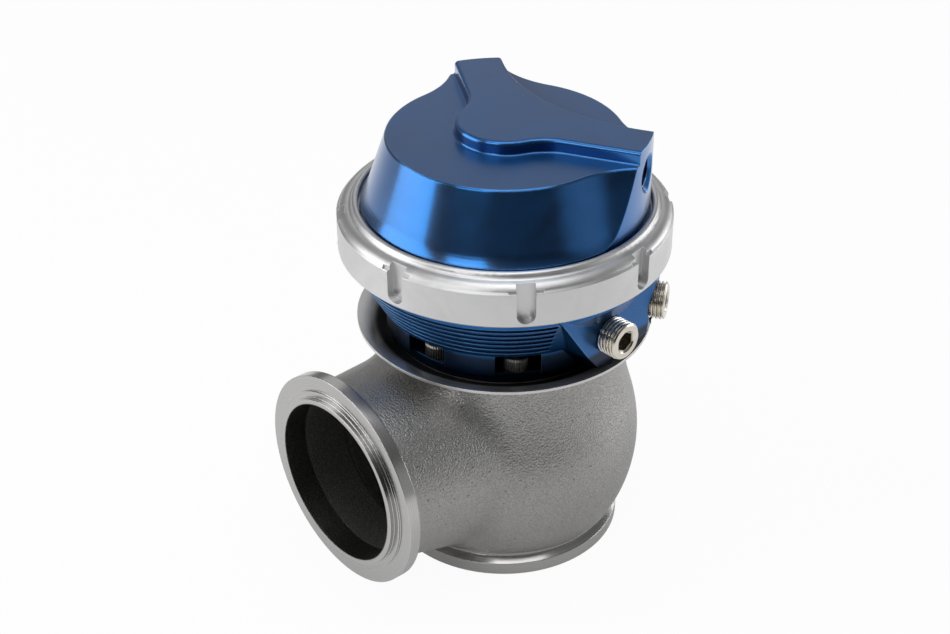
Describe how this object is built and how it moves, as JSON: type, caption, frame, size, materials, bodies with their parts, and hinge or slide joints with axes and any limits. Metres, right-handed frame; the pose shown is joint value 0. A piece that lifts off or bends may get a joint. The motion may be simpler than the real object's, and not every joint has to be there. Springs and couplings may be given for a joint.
{
  "type": "external turbo wastegate",
  "caption": "V-band external turbo wastegate: cast steel valve body, poppet valve, spring and diaphragm actuator, heat shield dish and slotted locking collar.",
  "frame": {"origin": "centre of the inlet bore in the inlet flange's lower face", "axes": "+Z along the valve axis, from the inlet up to the cap; the outlet points along -X"},
  "size_m": [0.1043, 0.0892, 0.1245],
  "materials": {
    "cast_steel": "sand cast, satin",
    "seat_steel": "ground",
    "valve_steel": "turned",
    "bronze": "bored",
    "polished_steel": "spun, polished inside",
    "gasket": "fibre",
    "blue_anodised": "blue anodised",
    "seal_rubber": "matte",
    "diaphragm_rubber": "fabric reinforced",
    "spring_steel": "drawn",
    "nickel": "nickel plated",
    "machined_aluminium": "turned",
    "slip_plastic": "smooth",
    "collar_aluminium": "brushed",
    "screw_steel": "plain"
  },
  "bodies": {
    "gate_body": {"valve_body": "cast_steel", "valve_seat": "seat_steel", "valve_guide": "bronze", "heat_shield": "polished_steel", "base_gasket": "gasket", "lower_housing": "blue_anodised", "housing_screw_1": "screw_steel", "housing_screw_2": "screw_steel", "housing_screw_3": "screw_steel", "housing_screw_4": "screw_steel", "housing_screw_5": "screw_steel", "housing_screw_6": "screw_steel", "stem_seal": "seal_rubber", "seal_circlip": "spring_steel", "port_plug_front": "nickel", "port_plug_side": "nickel"},
    "valve_group": {"valve": "valve_steel", "piston": "machined_aluminium", "diaphragm": "diaphragm_rubber", "clamp_plate": "machined_aluminium", "lock_washer": "spring_steel", "lock_nut": "spring_steel", "outer_spring": "spring_steel", "inner_spring": "spring_steel"},
    "slip_ring_body": {"slip_ring": "slip_plastic"},
    "cap_body": {"cap": "blue_anodised"},
    "collar_body": {"locking_collar": "collar_aluminium"}
  },
  "joints": [
    {"name": "valve_lift", "type": "slide", "parent": "gate_body", "child": "valve_group", "axis": [0, 0, 1], "range_m": [0, 0.011], "stiffness_N_per_m": 8000, "springref_m": -0.02, "deforming": ["outer_spring", "inner_spring", "diaphragm"]},
    {"name": "collar_rise", "type": "slide", "parent": "gate_body", "child": "slip_ring_body", "axis": [0, 0, 1], "range_m": [0, 0.006]},
    {"name": "collar_turn", "type": "hinge", "parent": "slip_ring_body", "child": "collar_body", "pos_m": [0, 0, 0.095], "axis": [0, 0, 1], "range_deg": [0, 1440]},
    {"name": "cap_clocking", "type": "hinge", "parent": "slip_ring_body", "child": "cap_body", "pos_m": [0, 0, 0.1], "axis": [0, 0, 1], "continuous": true}
  ],
  "couplings": [
    {"joint": "collar_turn", "follows": "collar_rise", "rad_per_m": 4188.8}
  ]
}
